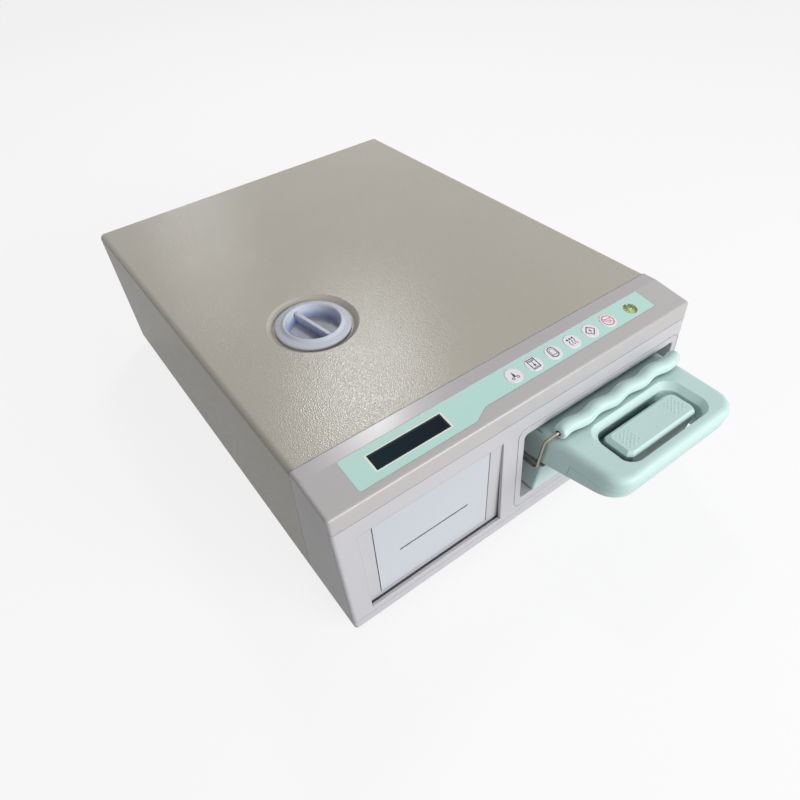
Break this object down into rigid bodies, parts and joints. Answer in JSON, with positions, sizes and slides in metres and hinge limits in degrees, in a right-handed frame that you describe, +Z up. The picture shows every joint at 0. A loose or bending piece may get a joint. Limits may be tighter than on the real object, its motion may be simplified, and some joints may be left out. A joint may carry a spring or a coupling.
{
  "type": "cassette autoclave",
  "caption": "Bench steriliser: a low cabinet whose front slot holds a sliding cassette with lid and tray handles, control strip, printer door and water filler cap.",
  "frame": {"origin": "centre of the bounding box at the underside of the feet", "axes": "+Z up, -Y towards the user, +X to the right seen from the front"},
  "size_m": [0.41, 0.607, 0.1593],
  "materials": {
    "cover_paint": "orange peel satin",
    "hood_paint": "satin",
    "panel_plastic": "satin",
    "label_film": "satin film",
    "window_glass": "clear",
    "key_plastic": "domed",
    "circuit_board": "solder mask",
    "display_dark": "gloss",
    "vial_plastic": "gloss",
    "lens_clear": "clear",
    "door_plastic": "translucent",
    "handle_mint": "satin",
    "cassette_steel": "brushed",
    "wire_nickel": "nickel plate",
    "silicone": "matt",
    "black_rubber": "matt",
    "pan_steel": "galvanised",
    "tank_plastic": "natural",
    "cap_plastic": "translucent",
    "seal_rubber": "matt",
    "insulation": "moulded",
    "aluminium": "milled",
    "black_plastic": "moulded",
    "paper": "paper",
    "brass": "turned",
    "hose_silicone": "translucent",
    "screw_steel": "zinc plate",
    "filter_white": "moulded"
  },
  "bodies": {
    "cabinet": {"control_hood": "hood_paint", "keypad_label": "label_film", "lcd_window": "window_glass", "lcd_module": "display_dark", "keypad_board": "circuit_board", "level_vial": "vial_plastic", "level_lens": "lens_clear", "front_panel": "panel_plastic", "front_sill": "panel_plastic", "top_cover": "cover_paint", "rear_panel": "pan_steel", "base_pan": "pan_steel", "rubber_feet": "black_rubber", "cover_screws": "screw_steel", "reservoir_tank": "tank_plastic", "water_sensor": "black_plastic", "bay_shell": "pan_steel", "side_guides": "insulation", "upper_platen": "insulation", "lower_platen": "insulation", "probe_bracket": "aluminium", "steam_probes": "cassette_steel", "printer_mechanism": "black_plastic", "boiler": "cassette_steel", "boiler_heater": "aluminium", "water_pump": "black_plastic", "air_compressor": "aluminium", "valve_block": "brass", "control_board": "circuit_board", "power_supply": "pan_steel", "mains_inlet": "black_plastic", "mains_switch": "black_plastic", "exhaust_fitting": "brass", "air_filter": "filter_white", "fan_frame": "black_plastic", "steam_pipe": "brass", "exhaust_pipe": "hose_silicone", "water_hoses": "hose_silicone"},
    "cassette": {"cassette_tray": "cassette_steel", "cassette_lid": "cassette_steel", "cassette_seal": "silicone", "instrument_rack": "cassette_steel", "port_seals": "silicone", "tray_handle": "handle_mint", "lid_handle": "handle_mint", "handle_cover": "handle_mint"},
    "bail": {"bail_wire": "wire_nickel", "bail_grip": "handle_mint"},
    "cap": {"reservoir_cap": "cap_plastic", "cap_seal": "seal_rubber"},
    "printer_door": {"printer_door": "door_plastic"},
    "paper_roll": {"paper_roll": "paper"},
    "rocker": {"switch_rocker": "black_plastic"},
    "rotor": {"fan_rotor": "black_plastic"},
    "key_1": {"button_1": "key_plastic"},
    "key_2": {"button_2": "key_plastic"},
    "key_3": {"button_3": "key_plastic"},
    "key_4": {"button_4": "key_plastic"},
    "key_5": {"button_5": "key_plastic"},
    "key_6": {"button_6": "key_plastic"}
  },
  "joints": [
    {"name": "cassette_slide", "type": "slide", "parent": "cabinet", "child": "cassette", "axis": [0, -1, 0], "range_m": [0, 0.4]},
    {"name": "bail_swing", "type": "hinge", "parent": "cassette", "child": "bail", "pos_m": [0.094, -0.041, 0.07], "axis": [-1, 0, 0], "range_deg": [0, 10]},
    {"name": "cap_lift", "type": "slide", "parent": "cabinet", "child": "cap", "axis": [0, 0, 1], "range_m": [0, 0.06]},
    {"name": "printer_door_hinge", "type": "hinge", "parent": "cabinet", "child": "printer_door", "pos_m": [-0.1086, -0.21408, 0.11756], "axis": [-1, 0, 0], "range_deg": [0, 100]},
    {"name": "paper_roll_spin", "type": "hinge", "parent": "cabinet", "child": "paper_roll", "pos_m": [-0.1086, -0.179, 0.08], "axis": [1, 0, 0], "continuous": true},
    {"name": "mains_rocker", "type": "hinge", "parent": "cabinet", "child": "rocker", "pos_m": [-0.15, 0.2851, 0.092], "axis": [-1, 0, 0], "range_deg": [0, 20]},
    {"name": "fan_spin", "type": "hinge", "parent": "cabinet", "child": "rotor", "pos_m": [-0.06, 0.2702, 0.098], "axis": [0, 1, 0], "continuous": true},
    {"name": "key_1_press", "type": "slide", "parent": "cabinet", "child": "key_1", "axis": [0, 0.1429, -0.9897], "range_m": [0, 0.0005], "stiffness_N_per_m": 1500},
    {"name": "key_2_press", "type": "slide", "parent": "cabinet", "child": "key_2", "axis": [0, 0.1429, -0.9897], "range_m": [0, 0.0005], "stiffness_N_per_m": 1500},
    {"name": "key_3_press", "type": "slide", "parent": "cabinet", "child": "key_3", "axis": [0, 0.1429, -0.9897], "range_m": [0, 0.0005], "stiffness_N_per_m": 1500},
    {"name": "key_4_press", "type": "slide", "parent": "cabinet", "child": "key_4", "axis": [0, 0.1429, -0.9897], "range_m": [0, 0.0005], "stiffness_N_per_m": 1500},
    {"name": "key_5_press", "type": "slide", "parent": "cabinet", "child": "key_5", "axis": [0, 0.1429, -0.9897], "range_m": [0, 0.0005], "stiffness_N_per_m": 1500},
    {"name": "key_6_press", "type": "slide", "parent": "cabinet", "child": "key_6", "axis": [0, 0.1429, -0.9897], "range_m": [0, 0.0005], "stiffness_N_per_m": 1500}
  ]
}
